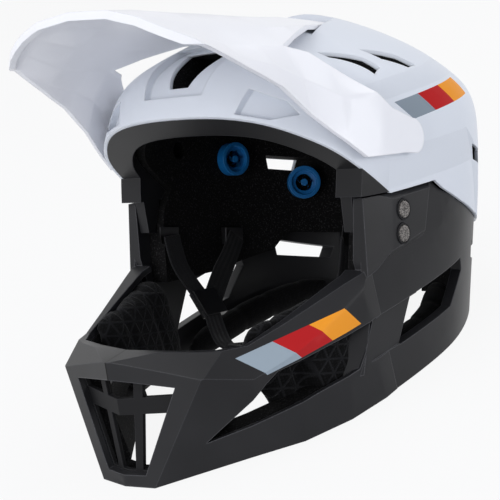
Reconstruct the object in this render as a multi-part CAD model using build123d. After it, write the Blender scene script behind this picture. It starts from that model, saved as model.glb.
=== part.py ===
from build123d import *
import math
import os

# A convertible full face helmet for downhill riding, in millimetres.
# The crown is drawn level, as it is worn, with the ear line at the origin.
# It is then tipped back onto its lower edge, which is how it stands on a table.
# The chin bar's front is drawn straight in the standing frame, where its lower edge is flat.
# Front faces -Y, the wearer's left is +X, up is +Z.

# Crown form
shell_half_width = 111.0
brow_reach = 128.0
back_reach = 127.0
crown_rise = 119.0
dome_start = 20.0
skirt_depth = 150.0
skirt_tuck = 11.0
set_down_tilt = 22.2
ear_height = 103.2
shell_wall = 2.2
liner_wall = 24.0
liner_step_rise = 18.0
rim_inset = 18.0
rim_strip = 8.0
skin_gap = 0.15
body_gap = 0.4
recess_depth = 4.5
overrun = 60.0

# Rear cover and bumper
cover_inset = 2.0
bumper_proud = 4.5
bumper_half_width = 54.0
bumper_top = 26.0
bumper_foot = -21.0
arm_end_reach = 101.0

# Chin bar, in the standing frame
chin_half_width = 100.0
chin_reach = 218.0
chin_top_height = 74.5
chin_shoulder_height = 62.0
chin_block_height = 84.0
chin_join_reach = 74.0
chin_wall = 3.6
chin_flange = 17.0
chin_flange_depth = 4.0
chin_foam = 18.0
chin_foam_end = 125.0
chin_tail = 54.0
mouth_frame = 2.5
mouth_overlap = 0.8
arm_inset = 2.0
arm_inner_inset = 9.5
arm_flat_turn = 4.0
arm_flat_reach = 30.0

# Ear plates, level frame
plate_face = 109.5
plate_root = 99.0
plate_bevel = 3.5
plate_lean = 45.0

# Release buttons
button_radius = 5.2
button_travel = 1.6
button_proud = 1.2
button_thickness = 2.6
button_spacing = 14.6
button_reach = 37.0
button_upper_height = -14.0
button_floor_gap = 1.6
button_grooves = 16
button_groove_radius = 0.45
bezel_width = 1.0
bezel_height = 1.9
bezel_proud = 0.8
button_clearance = 0.35

# Latch rails on the crown
rail_width = 10.0
rail_top = -20.0
rail_foot = -45.0
rail_reach = 17.0
rail_cover = 5.2

# Visor
visor_wall = 3.0
visor_lip = 5.0
visor_lip_band = 5.0
visor_clearance = 2.6
visor_pivot_reach = 36.0
visor_pivot_height = 30.0
visor_end_radius = 11.0
stud_radius = 3.0
stud_head_radius = 4.2
stud_head_height = 1.2
stud_seat = 3.2
bushing_radius = 6.0
bushing_length = 4.0
tongue_clearance = 1.5

# Fit system behind the head
dial_radius = 13.0
dial_thickness = 8.0
dial_height = -46.0
dial_reach = 96.4
dial_lobes = 12
dial_lobe_radius = 1.6
relief_half_width = 24.0
relief_front = 84.0
relief_rear = 125.0
relief_top = -28.0
yoke_height = 26.0
yoke_thickness = 4.0
yoke_reach = 92.0
yoke_foot = 4.0
yoke_foot_length = 14.0
yoke_ledge = 1.5
shaft_radius = 2.4
pinion_pitch_radius = 5.0
pinion_teeth = 10
pinion_thickness = 4.0
tooth_height = 2.0
tooth_width = 1.0
band_length = 30.0
band_overlap = 14.0
band_thickness = 2.6
fit_clearance = 0.4

# Soft parts
cheek_thickness = 26.0
cheek_length = 84.0
cheek_height = 64.0
cheek_middle_reach = 114.0
cheek_middle_height = 43.0
cheek_inner_width = 62.0
cheek_turn = 13.0
cheek_corner = 14.0
pad_thickness = 7.0
strap_width = 15.0
strap_thickness = 1.8
anchor_width = 18.0
anchor_height = 12.0
anchor_thickness = 2.0
divider_length = 20.0
divider_width = 22.0
divider_thickness = 5.0
buckle_width = 20.0
buckle_thickness = 9.0
turbine_radius = 12.0
turbine_bore = 6.0

# Outlines of the crown, as shares of its reach to the front, half width and rise
dome_profile_shares = ((0.2, 0.995), (0.38, 0.975), (0.5, 0.93), (0.62, 0.825), (0.746, 0.666),
                       (0.85, 0.485), (0.93, 0.305), (0.98, 0.15))
brow_power_share = 3.2
dome_power_share = 2.0
skirt_shares = (1.0, 0.83, 0.66, 0.49, 0.32, 0.15)
brow_line_shares = ((-1.14, 0.437), (-0.375, -0.038))
hem_line_shares = ((-0.047, 0.038), (0.023, 0.0), (0.211, -0.063), (0.414, -0.113),
                   (0.781, -0.176), (1.2, -0.24))
rim_corner_shares = ((-0.562, 0.079), (-0.562, -0.062), (-0.375, -0.03))
pillar_shares = ((-0.562, 0.076), (-0.391, -0.028), (-0.438, -0.235), (-0.5, -0.235))
lobe_shares = ((-0.43, -0.05), (-0.414, -0.521), (0.0, -0.462), (0.391, -0.336), (0.469, -0.227),
               (0.8, -0.227))
plate_shares = ((-0.53, -0.068), (-0.363, -0.037), (-0.045, 0.036), (-0.087, -0.243),
                (-0.37, -0.359), (-0.505, -0.46))
brow_vent_shares = ((-0.072, 0.504), (0.072, 0.504), (0.18, 0.706), (-0.18, 0.706))
brow_recess_shares = ((-0.225, 0.454), (0.225, 0.454), (0.297, 0.739), (-0.297, 0.739))
side_recess_shares = ((0.45, 0.345), (0.64, 0.311), (0.757, 0.336), (0.694, 0.403), (0.505, 0.471))
front_top_vent_shares = ((0.649, -0.578), (0.721, -0.562), (0.892, -0.406), (0.874, -0.344),
                         (0.793, -0.391))
rear_top_vent_shares = ((0.73, -0.344), (0.829, -0.281), (0.892, -0.141), (0.874, -0.062),
                        (0.802, -0.141), (0.757, -0.258))
rear_vent_shares = ((0.359, 0.252), (0.656, 0.235), (0.641, 0.151), (0.375, 0.168))
neck_port_shares = ((0.484, -0.269), (0.766, -0.319), (0.75, -0.387), (0.5, -0.37))

# Visor arches from the lip back, each a reach share and then half an arch from its middle out
visor_arch_shares = (
    (-1.672, ((0.0, 0.798), (0.27, 0.78), (0.45, 0.735), (0.595, 0.676), (0.721, 0.626), (0.838, 0.563))),
    (-1.445, ((0.0, 0.832), (0.279, 0.811), (0.468, 0.756), (0.604, 0.693), (0.739, 0.63), (0.847, 0.555))),
    (-1.195, ((0.0, 0.859), (0.297, 0.828), (0.505, 0.744), (0.649, 0.647), (0.766, 0.571), (0.865, 0.471))),
    (-1.016, ((0.0, 0.876), (0.306, 0.845), (0.523, 0.761), (0.676, 0.66), (0.793, 0.555), (0.887, 0.403))),
    (-0.859, ((0.0, 0.891), (0.315, 0.855), (0.541, 0.773), (0.698, 0.672), (0.829, 0.504), (0.914, 0.269))),
    (-0.688, ((0.0, 0.908), (0.306, 0.872), (0.541, 0.803), (0.778, 0.64), (0.947, 0.422), (0.994, 0.084))),
    (-0.484, ((0.0, 0.929), (0.27, 0.903), (0.505, 0.836), (0.812, 0.637), (1.003, 0.456), (1.05, 0.067))),
    (-0.234, ((0.0, 0.951), (0.252, 0.92), (0.45, 0.857), (0.793, 0.639), (1.03, 0.437), (1.062, 0.042))),
    (0.1, ((0.0, 0.966), (0.252, 0.933), (0.45, 0.866), (0.793, 0.639), (1.036, 0.437), (1.068, 0.042))))
visor_floor_share = -0.2
visor_lip_shares = ((0.0, -1.61), (0.324, -1.59), (0.432, -1.57), (0.527, -1.55), (0.613, -1.52),
                    (0.721, -1.46), (0.793, -1.4))
visor_side_shares = ((-1.4, 0.607), (-1.02, 0.445), (-0.828, 0.303), (-0.75, 0.244), (-0.586, 0.13),
                     (-0.328, 0.165))
arm_upper_shares = ((-0.865, 0.671), (-0.742, 0.647), (-0.688, 0.601), (-0.508, 0.458),
                    (-0.414, 0.385), (-0.27, 0.342))
tongue_edge_shares = ((0.698, -0.865), (0.27, -0.062))

# Outlines of the chin bar, as shares of its half width, reach and top height
chin_foot_shares = ((0.0, -1.0), (0.225, -0.986), (0.6, -0.78), (0.82, -0.665), (0.95, -0.528),
                    (1.0, -0.394), (0.995, -0.3))
chin_shoulder_shares = ((0.0, -0.95), (0.605, -0.867), (0.815, -0.766), (0.91, -0.619),
                        (0.99, -0.477), (1.03, -0.394), (1.01, -0.3))
front_bevel_shares = ((0.0, -0.945, 1.0), (0.605, -0.867, 0.811), (0.52, -0.812, 0.949))
side_bevel_shares = ((0.605, -0.867, 0.811), (0.986, -0.477, 0.893), (0.91, -0.486, 1.02))
chin_top_shares = ((-0.858, 1.0), (-0.812, 0.953), (-0.725, 0.906), (-0.61, 0.953), (-0.422, 1.05),
                   (-0.3, 1.1))
plate_front_shares = ((0.986, -0.477, 0.893), (1.095, -0.275, 1.095), (1.095, -0.204, 1.557))
front_window_shares = ((-0.872, 0.255), (-0.734, 0.6), (-0.7, 0.66), (-0.367, 0.68), (-0.463, 0.36),
                       (-0.6, 0.34))
rear_window_shares = ((-0.18, 0.665), (0.073, 0.66), (0.073, 0.55), (-0.028, 0.33), (-0.29, 0.335))
strut_face_shares = ((-0.37, 0.67), (-0.176, 0.66), (-0.287, 0.34), (-0.467, 0.365))
strut_rib_shares = ((1.0, -0.367), (0.88, -0.413), (0.855, -0.4), (0.965, -0.348))
strut_lean_share = 0.096
strut_height_shares = (0.3, 0.74)
window_inner_share = 0.45
mouth_shares = ((-0.425, 0.765), (0.0, 0.86), (0.425, 0.765), (0.164, 0.094), (-0.164, 0.094))
mouth_left_strut_shares = ((0.13, 0.86), (0.19, 0.86), (0.1, 0.05), (0.05, 0.05))
mouth_right_strut_shares = ((-0.19, 0.86), (-0.13, 0.86), (-0.05, 0.05), (-0.1, 0.05))
mouth_bar_shares = ((-0.4, 0.68), (0.4, 0.68), (0.37, 0.55), (-0.37, 0.55))

# Pads in the head space, as shares of the crown's half width, reach and rise
brow_pad_shares = ((-0.62, 0.3), (-0.62, 0.42), (0.0, 0.54), (0.62, 0.42), (0.62, 0.3), (0.0, 0.42))
crown_pad_shares = ((-0.09, -0.6), (0.09, -0.6), (0.14, 0.0), (0.09, 0.62), (-0.09, 0.62), (-0.14, 0.0))
side_pad_shares = ((0.24, -0.42), (0.42, -0.36), (0.46, 0.3), (0.28, 0.44), (0.24, 0.0))
turbine_shares = ((0.703, 0.117, 0.218), (0.495, 0.5, 0.084))

# The cheek pad's sections, as shares of its thickness and its outline
cheek_section_shares = ((0.0, 0.84), (0.25, 1.0), (0.7, 0.97), (1.0, 0.74))

# Straps from the crown to the buckle, as shares of the crown's half width, reach and rise
anchor_shares = ((0.74, -0.39, -0.25), (0.74, 0.12, -0.25))
front_strap_shares = ((0.706, -0.39, -0.25), (0.685, -0.375, -0.38), (0.63, -0.34, -0.5),
                      (0.54, -0.27, -0.64))
rear_strap_shares = ((0.706, 0.12, -0.25), (0.69, 0.05, -0.37), (0.63, -0.09, -0.5),
                     (0.54, -0.23, -0.64))
chin_strap_shares = ((0.54, -0.25, -0.64), (0.42, -0.3, -0.78), (0.29, -0.34, -0.885),
                     (0.2, -0.34, -0.885))


def settle(shape):
    """Tip a level part back onto the helmet's lower edge."""
    return Location((0, 0, ear_height), (-set_down_tilt, 0, 0)) * shape


def both_sides(shape):
    """The part and its mirror image, as two solids of one node."""
    return Compound(children=shape.solids() + mirror(shape, about=Plane.YZ).solids())


def crown_side(shares):
    """Shares of reach and rise as (y, z) points of the crown."""
    return [(brow_reach * y, crown_rise * z) for y, z in shares]


def crown_plan(shares):
    """Shares of half width and reach as (x, y) points of the crown."""
    return [(shell_half_width * x, brow_reach * y) for x, y in shares]


def crown_front(shares):
    """Shares of half width and rise as (x, z) points of the crown."""
    return [(shell_half_width * x, crown_rise * z) for x, z in shares]


def crown_places(shares):
    """Shares of half width, reach and rise as points of the crown."""
    return [Vector(shell_half_width * x, brow_reach * y, crown_rise * z) for x, y, z in shares]


def bar_side(shares):
    """Shares of reach and top height as (y, z) points of the chin bar."""
    return [(chin_reach * y, chin_top_height * z) for y, z in shares]


def bar_plan(shares):
    """Shares of half width and reach as (x, y) points of the chin bar."""
    return [(chin_half_width * x, chin_reach * y) for x, y in shares]


def bar_front(shares):
    """Shares of half width and top height as (x, z) points of the chin bar."""
    return [(chin_half_width * x, chin_top_height * z) for x, z in shares]


def bar_places(shares):
    """Shares of half width, reach and top height as points of the chin bar."""
    return [Vector(chin_half_width * x, chin_reach * y, chin_top_height * z) for x, y, z in shares]


def outline(points, grow):
    """A face through points, with straight sides, grown outward if asked."""
    face = make_face(Polyline(*points, close=True))
    if grow:
        face = offset(face, amount=grow, kind=Kind.INTERSECTION)
    return face


def side_prism(points, low, high, grow=0, lean=0):
    """An outline of (y, z) points, run across the helmet from x = low to x = high."""
    return extrude(Pos(low, 0, 0) * (Plane.YZ * outline(points, grow)), amount=high - low, taper=lean)


def front_prism(points, low, high, grow=0, lean=0):
    """An outline of (x, z) points, run forward from y = high to y = low."""
    return extrude(Pos(0, high, 0) * (Plane.XZ * outline(points, grow)), amount=high - low, taper=lean)


def plan_prism(points, low, high, grow=0):
    """An outline of (x, y) points, run up from z = low to z = high."""
    return extrude(Pos(0, 0, low) * outline(points, grow), amount=high - low)


def block_above(places, size):
    """A block that lies above the plane through three places."""
    a, b, c = places
    normal = (b - a).cross(c - a).normalized()
    if normal.Z < 0:
        normal = normal * -1
    above = Box(size, size, size, align=(Align.CENTER, Align.CENTER, Align.MIN))
    return Plane(origin=a, z_dir=normal) * above


def inset_line(points, inset):
    """An open outline moved to its left hand side by inset, with its corners kept."""
    turns = []
    for (x0, y0), (x1, y1) in zip(points, points[1:]):
        length = math.hypot(x1 - x0, y1 - y0)
        turns.append((-(y1 - y0) / length, (x1 - x0) / length))
    moved = []
    for index, (x, y) in enumerate(points):
        before = turns[max(index - 1, 0)]
        after = turns[min(index, len(turns) - 1)]
        middle = (before[0] + after[0], before[1] + after[1])
        reach = inset / (middle[0] * before[0] + middle[1] * before[1])
        moved.append((x + middle[0] * reach, y + middle[1] * reach))
    return moved


# The egg that the shell, the liner, the pads and the arms are all cut from
ring_steps = 16


def egg_ring(height, half_width, front, back, front_power):
    """A level section: a squarer front and a round back, with evenly spread knots."""
    points = []
    for step in range(ring_steps):
        turn = 2 * math.pi * step / ring_steps
        sine, cosine = math.sin(turn), math.cos(turn)
        power = front_power if cosine > 0 else dome_power_share
        reach = front if cosine > 0 else back
        x = half_width * math.copysign(abs(sine) ** (2 / power), sine)
        y = -reach * math.copysign(abs(cosine) ** (2 / power), cosine)
        points.append(Vector(x, y, height))
    spread = [step / ring_steps for step in range(ring_steps + 1)]
    return Face(Wire(Edge.make_spline(points, periodic=True, parameters=spread)))


def egg(inset):
    """The crown's outer form, drawn in all round by inset."""
    half_width = shell_half_width - inset
    front = brow_reach - inset
    back = back_reach - inset
    rise = crown_rise - inset - dome_start
    rings = []
    for share in skirt_shares:
        tuck = skirt_tuck * share
        rings.append(egg_ring(-skirt_depth * share, half_width - tuck, front, back, brow_power_share))
    rings.append(egg_ring(dome_start, half_width, front, back, brow_power_share))
    blend_end_share = dome_profile_shares[-4][0]
    for height_share, plan_share in dome_profile_shares:
        blend = min(1, height_share / blend_end_share)
        power = brow_power_share + (dome_power_share - brow_power_share) * blend
        rings.append(egg_ring(dome_start + rise * height_share, half_width * plan_share,
                              front * plan_share, back * plan_share, power))
    return loft(rings + [Vertex(0, 0, dome_start + rise)])


# The visor's form, filled solid below, drawn in by inset
def hood(inset):
    """The visor's arched form, lofted from front to rear and drawn in by inset."""
    sections = []
    for reach_share, half_arch in visor_arch_shares:
        half = crown_front(half_arch)
        arch = half[:0:-1] + [(-x, z) for x, z in half]
        arch = inset_line(arch, inset)
        floor = crown_rise * visor_floor_share
        arch += [(arch[-1][0], floor), (arch[0][0], floor)]
        sections.append(Pos(0, brow_reach * reach_share, 0) * (Plane.XZ * outline(arch, 0)))
    return loft([section.face() for section in sections], ruled=True)


def visor_arm_end():
    """The rounded ends of the visor's arms."""
    return pivot_rod(visor_end_radius, -2 * shell_half_width, 2 * shell_half_width)


def below_visor_side():
    """Everything below the visor's side edge and arms."""
    edge = crown_side(visor_side_shares)
    (front, front_height), (_, rear_height) = edge[0], edge[-1]
    points = [(front - overrun, front_height), *edge, (overrun, rear_height), (overrun, -2 * overrun),
              (front - overrun, -2 * overrun)]
    return side_prism(points, -2 * shell_half_width, 2 * shell_half_width)


def beside_tongue():
    """The two notches between the visor's tongue and its arms."""
    notch, rear = crown_plan(tongue_edge_shares)
    width = 2 * shell_half_width
    plan = [notch, rear, (rear[0], overrun), (width, overrun), (width, notch[1])]
    upper = crown_side(arm_upper_shares)
    side = [*upper, (overrun, upper[-1][1]), (overrun, 2 * crown_rise), (upper[0][0], 2 * crown_rise)]
    one = plan_prism(plan, -overrun, 2 * crown_rise) & side_prism(side, 0, width)
    return one, mirror(one, about=Plane.YZ)


def make_visor():
    """A thin hood with a thicker lip, a tongue over the crown and two arms to the pivots."""
    width = 2 * shell_half_width
    lip = crown_plan(visor_lip_shares)
    half = [*lip, (width, lip[-1][1]), (width, overrun)]
    keep = plan_prism(half + [(-x, y) for x, y in reversed(half)][:-1], -overrun, 2 * crown_rise)
    band = Pos(0, visor_lip_band, 0) * keep
    visor = (hood(0) & keep) - hood(visor_lip) - (hood(visor_wall) & band)
    tongue_end = crown_plan(tongue_edge_shares)[1][1]
    behind_tongue = level_box(-width, width, tongue_end, width, -crown_rise, 2 * crown_rise)
    arm_room = crown_rise - 3 * visor_end_radius
    behind_pivot = level_box(-width, width, -visor_pivot_reach, width, -crown_rise, arm_room)
    reach = shell_half_width + stud_seat
    bore = pivot_rod(stud_radius + skin_gap, -reach, reach)
    return visor - [below_visor_side(), *beside_tongue(), behind_tongue, behind_pivot - visor_arm_end(), bore]


# Shell, rim and liner
def hem_block(rise):
    """The side of the crown that the shell covers: above the brow line and the hem."""
    brow = crown_side(brow_line_shares)
    hem = [(y, z + rise) for y, z in crown_side(hem_line_shares)]
    points = brow + hem + [(2 * back_reach, hem[-1][1]), (2 * back_reach, 2 * crown_rise),
                           (brow[0][0], 2 * crown_rise)]
    return side_prism(points, -2 * shell_half_width, 2 * shell_half_width)


def brow_strip(start, end):
    """A strip along the brow line, from start to end behind it."""
    (y0, z0), (y1, z1) = crown_side(brow_line_shares)
    length = math.hypot(y1 - y0, z1 - z0)
    back = (-(z1 - z0) / length, (y1 - y0) / length)
    points = [(y0 + back[0] * start, z0 + back[1] * start), (y1 + back[0] * start, z1 + back[1] * start),
              (y1 + back[0] * end, z1 + back[1] * end), (y0 + back[0] * end, z0 + back[1] * end)]
    return side_prism(points, -2 * shell_half_width, 2 * shell_half_width)


def sunk_form(inset, grow):
    """The crown's form at an inset, with the recesses and the tongue's seat sunk into it."""
    form = egg(inset)
    far = 2 * brow_reach
    floor = egg(recess_depth + inset)
    brow = front_prism(crown_front(brow_recess_shares), -far, 0, grow) - floor
    side = front_prism(crown_front(side_recess_shares), -far, 0, grow) - floor
    notch, rear = crown_plan(tongue_edge_shares)
    seat_half = [notch, (rear[0] + tongue_clearance, rear[1] + tongue_clearance)]
    seat = plan_prism(seat_half + [(-x, y) for x, y in reversed(seat_half)], 0, 2 * crown_rise, grow)
    seat = seat - hood(visor_wall + visor_clearance + inset)
    return form - [brow, side, mirror(side, about=Plane.YZ), seat]


def through_vents(grow):
    """The openings that pass right through shell and liner."""
    far = 2 * brow_reach
    brow = front_prism(crown_front(brow_vent_shares), -far, -liner_wall, grow)
    tops = []
    for shares in (front_top_vent_shares, rear_top_vent_shares):
        tops.append(plan_prism(crown_plan(shares), dome_start + liner_wall, 2 * crown_rise, grow))
    tops.append(side_prism(crown_side(rear_vent_shares), liner_wall, 2 * shell_half_width, grow))
    cutters = [brow]
    for top in tops:
        cutters += [top, mirror(top, about=Plane.YZ)]
    return cutters


def level_box(x0, x1, y0, y1, z0, z1):
    """A box from its low to its high corner."""
    return Pos((x0 + x1) / 2, (y0 + y1) / 2, (z0 + z1) / 2) * Box(x1 - x0, y1 - y0, z1 - z0)


def bushing_bore():
    """The bore across the crown that the bushings press into, as a cutter."""
    return pivot_rod(bushing_radius + skin_gap, -2 * shell_half_width, 2 * shell_half_width)


def make_shell():
    """The white shell: a thin wall with sunk panels, the tongue's seat and the vents."""
    shell = sunk_form(0, 0) - sunk_form(shell_wall, shell_wall)
    return (shell & hem_block(0)) - [*through_vents(0), bushing_bore()]


def rim_side(shares, grow):
    """A piece of the rim's side outline, run across the whole helmet."""
    return side_prism(crown_side(shares), -2 * shell_half_width, 2 * shell_half_width, grow)


def make_rim():
    """The rim round the eye port: a strip under the brow, two corners and two pillars."""
    depth = shell_wall + skin_gap
    strip = (sunk_form(depth, depth) & brow_strip(0, rim_strip)) - egg(rim_inset)
    corner = (rim_side(rim_corner_shares, 0) & egg(0)) - [egg(rim_inset), hem_block(-skin_gap)]
    pillars = (rim_side(pillar_shares, 0) & egg(arm_inner_inset + 2 * body_gap)) - egg(rim_inset)
    return strip + corner + pillars


def arm_zone(rise):
    """The part of the crown that the chin bar's arms and the rear cover pass outside."""
    hem = [(y, z + rise) for y, z in crown_side(hem_line_shares)]
    points = [(-brow_reach, hem[0][1]), *hem, (2 * back_reach, hem[-1][1]), (2 * back_reach, -skirt_depth),
              (-brow_reach, -skirt_depth)]
    return side_prism(points, -2 * shell_half_width, 2 * shell_half_width)


def crown_region():
    """The liner's side outline, open to the face and round the ears."""
    (y0, z0), (y1, z1) = crown_side(brow_line_shares)
    lobe = crown_side(lobe_shares)
    rear = arm_end_reach + body_gap
    points = [(y0, z0), (y1, z1), *lobe[:-1], (rear, lobe[-1][1]), (rear, -skirt_depth),
              (2 * back_reach, -skirt_depth), (2 * back_reach, 2 * crown_rise), (y0, 2 * crown_rise)]
    return side_prism(points, -2 * shell_half_width, 2 * shell_half_width)


def neck_ports():
    """The openings low beside the neck, through the arms and the liner."""
    port = side_prism(crown_side(neck_port_shares), liner_wall, 2 * shell_half_width)
    return port, mirror(port, about=Plane.YZ)


def make_liner():
    """The foam under the shell, stepped in where the chin bar's arms pass outside it."""
    depth = shell_wall + skin_gap
    liner = (sunk_form(depth, depth) & crown_region()) - egg(liner_wall)
    step = arm_zone(liner_step_rise) - egg(arm_inner_inset + body_gap)
    half = relief_half_width
    relief = level_box(-half, half, relief_front, relief_rear, -skirt_depth, relief_top)
    rim_seats = [brow_strip(-overrun, rim_strip + skin_gap), rim_side(pillar_shares, skin_gap),
                 rim_side(rim_corner_shares, skin_gap)]
    return liner - [*rim_seats, step, relief, bushing_bore(), *through_vents(0), *neck_ports()]


def settled_above(shape, height):
    """A level part in the standing frame, cut off flat at a height above the table."""
    size = 4 * brow_reach
    above = Box(size, size, size, align=(Align.CENTER, Align.CENTER, Align.MIN))
    return settle(shape) & (Pos(0, 0, height) * above)


# Cover, bumper and pads
def make_rear_cover():
    """The black cover of the neck part, behind the chin bar's arms."""
    cover = egg(cover_inset) - egg(arm_inner_inset + body_gap - skin_gap)
    back = level_box(-2 * shell_half_width, 2 * shell_half_width, arm_end_reach + body_gap, 2 * back_reach,
                     -skirt_depth, crown_rise)
    return cover & back & (Pos(0, 0, -skin_gap) * arm_zone(0))


def make_bumper():
    """The strip at the back that stands proud of the shell."""
    band = level_box(-bumper_half_width, bumper_half_width, overrun, 2 * back_reach, bumper_foot, bumper_top)
    return (egg(-bumper_proud) & band) - egg(-skin_gap)


def pad_layer():
    """The layer inside the foam that the comfort pads are cut from."""
    return egg(liner_wall + skin_gap) - egg(liner_wall + pad_thickness)


def make_turbine_pads():
    """Four ring shaped damping pads, seated on the foam's inner face."""
    pads = []
    room = egg(liner_wall + skin_gap)
    for place in crown_places(turbine_shares):
        outward = Vector(place.X / shell_half_width ** 2, place.Y / back_reach ** 2, 0)
        seat = Plane(origin=place, z_dir=outward)
        ring = Cylinder(turbine_radius, liner_wall) - Cylinder(turbine_bore, liner_wall)
        pads.append((seat * Pos(0, 0, liner_wall / 2) * ring) & room)
    return both_sides(Compound(children=[pad.solid() for pad in pads]))


# Pivots and latch rails
def across(radius, reach, height, low, high):
    """A cylinder across the helmet from x = low to x = high."""
    return Pos((low + high) / 2, reach, height) * Rot(0, 90, 0) * Cylinder(radius, high - low)


def pivot_rod(radius, low, high):
    """A cylinder on the visor's axis, from x = low to x = high."""
    return across(radius, -visor_pivot_reach, visor_pivot_height, low, high)


def make_bushings():
    """The bushings in the shell that the visor's studs turn in."""
    face = shell_half_width - skin_gap
    ring = pivot_rod(bushing_radius, face - bushing_length, face)
    bore = pivot_rod(stud_radius + body_gap, 0, 2 * shell_half_width)
    return both_sides(ring - bore)


def make_studs():
    """The visor's two studs, headed inside the bushings."""
    face = shell_half_width - skin_gap
    head_end = face - bushing_length - body_gap
    pin = pivot_rod(stud_radius, head_end, face + stud_seat)
    head = pivot_rod(stud_head_radius, head_end - stud_head_height, head_end)
    return both_sides(pin + head)


def rail_block(grow, top):
    """The space of one latch rail, or of its groove when grown."""
    face = plate_face - rail_cover
    return level_box(plate_root - overrun, face + grow, -rail_reach - rail_width / 2 - grow,
                     -rail_reach + rail_width / 2 + grow, rail_foot - grow, top)


def make_rails():
    """The crown's tongues that slide into the ear plates."""
    return both_sides(rail_block(0, rail_top) - egg(arm_inner_inset + body_gap - skin_gap))


# Straps and buckle
def ribbon(places, width, thickness):
    """Webbing laid through places, its flat face turned to the head."""
    sections = []
    for index, place in enumerate(places):
        along = places[min(index + 1, len(places) - 1)] - places[max(index - 1, 0)]
        across_way = Vector(0, 1, 0)
        flat = Plane(origin=place, x_dir=across_way - along.normalized() * across_way.dot(along.normalized()),
                     z_dir=along)
        sections.append((flat * Rectangle(width, thickness)).face())
    return loft(sections, ruled=True)


def strap_set(width, thickness):
    """One side's three straps, from both anchors to the divider and on to the buckle."""
    legs = [ribbon(crown_places(shares), width, thickness)
            for shares in (front_strap_shares, rear_strap_shares, chin_strap_shares)]
    return legs[0] + legs[1] + legs[2]


def make_anchors():
    """The plates in the foam that hold the straps."""
    anchors = []
    wide, high = anchor_width / 2, anchor_height / 2
    for place in crown_places(anchor_shares):
        plate = level_box(place.X - anchor_thickness, place.X + liner_wall / 2, place.Y - wide, place.Y + wide,
                          place.Z - high, place.Z + high)
        anchors.append((plate & egg(liner_wall + skin_gap)).solid())
    return both_sides(Compound(children=anchors))


def make_divider():
    """The slider where one side's three straps meet."""
    place = crown_places(chin_strap_shares)[0]
    along = crown_places(chin_strap_shares)[1] - crown_places(front_strap_shares)[-2]
    turned = Plane(origin=place, x_dir=(0, 1, 0), z_dir=along)
    block = turned * Box(divider_width, divider_thickness, divider_length)
    slot = 2 * skin_gap
    return both_sides(block - strap_set(strap_width + slot, strap_thickness + slot))


def buckle_box(x0, x1, width, thickness):
    """A box round the chin strap's lowest place, from x0 to x1."""
    place = crown_places(chin_strap_shares)[-1]
    return level_box(x0, x1, place.Y - width / 2, place.Y + width / 2, place.Z - thickness / 2,
                     place.Z + thickness / 2)


def make_buckle():
    """The buckle's socket and plug, closed."""
    end = crown_places(chin_strap_shares)[-1].X - skin_gap
    tongue_width = buckle_width - 4 * strap_thickness
    tongue_thickness = buckle_thickness - 3 * strap_thickness
    socket = buckle_box(0, end, buckle_width, buckle_thickness)
    socket = socket - buckle_box(-overrun, end / 2 + body_gap, tongue_width + 2 * skin_gap,
                                 tongue_thickness + 2 * skin_gap)
    plug = buckle_box(-end, -skin_gap, buckle_width, buckle_thickness)
    plug = plug + buckle_box(-end / 2, end / 2, tongue_width, tongue_thickness)
    return socket, plug


# Fit system: the dial's pinion draws two racks past each other
def fore_aft(radius, front, rear):
    """A cylinder on the fit dial's axis, from its front to its rear."""
    return Pos(0, (front + rear) / 2, dial_height) * Rot(90, 0, 0) * Cylinder(radius, rear - front)


def make_yoke():
    """The carrier of the fit dial: a plate with two feet in the foam and two ledges for the bands."""
    half = relief_half_width - skin_gap
    rear = yoke_reach + yoke_thickness
    low, high = dial_height - yoke_height / 2, dial_height + yoke_height / 2
    yoke = level_box(-half, half, yoke_reach, rear, low, high)
    for side in (-half, half - yoke_foot):
        yoke = yoke + level_box(side, side + yoke_foot, yoke_reach, rear + yoke_foot_length, low, high)
    ledge_front = yoke_reach - fit_clearance - band_thickness
    for height in (low, high - yoke_ledge):
        yoke = yoke + level_box(-half, half, ledge_front, yoke_reach, height, height + yoke_ledge)
    return yoke - fore_aft(shaft_radius + fit_clearance, 0, 2 * back_reach)


def make_dial():
    """The fit dial with its grip notches and its shaft."""
    front = dial_reach
    dial = fore_aft(dial_radius, front, front + dial_thickness)
    for lobe in range(dial_lobes):
        turn = 2 * math.pi * lobe / dial_lobes
        notch = fore_aft(dial_lobe_radius, front - overrun, front + overrun)
        dial = dial - Pos(dial_radius * math.cos(turn), 0, dial_radius * math.sin(turn)) * notch
    shaft_front = yoke_reach - fit_clearance - pinion_thickness
    return dial + fore_aft(shaft_radius, shaft_front, front)


def make_pinion():
    """The small gear on the dial's shaft."""
    rear = yoke_reach - fit_clearance
    root = pinion_pitch_radius - tooth_height / 2
    pinion = fore_aft(root, rear - pinion_thickness, rear)
    for tooth in range(pinion_teeth):
        block = level_box(-tooth_width / 2, tooth_width / 2, rear - pinion_thickness, rear, root / 2,
                          root + tooth_height - fit_clearance / 2)
        turned = Pos(0, 0, dial_height) * Rot(0, 360 * tooth / pinion_teeth, 0) * block
        pinion = pinion + turned
    return pinion - fore_aft(shaft_radius + skin_gap, 0, 2 * back_reach)


def make_band():
    """The upper band, which reaches out to the wearer's left."""
    rear = yoke_reach - fit_clearance
    pitch = 2 * math.pi * pinion_pitch_radius / pinion_teeth
    pitch_line = dial_height + pinion_pitch_radius
    low = pitch_line + tooth_height / 2 + fit_clearance / 2
    high = dial_height + yoke_height / 2 - yoke_ledge - fit_clearance
    band = level_box(-band_overlap, band_length, rear - band_thickness, rear, low, high)
    foot = pitch_line - tooth_height / 2 + fit_clearance / 2
    half = tooth_width / 2
    steps = int(band_overlap / pitch)
    for step in range(-steps, steps + 1):
        middle = (step + 1 / 2) * pitch
        band = band + level_box(middle - half, middle + half, rear - band_thickness, rear, foot, low)
    return band


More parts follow.
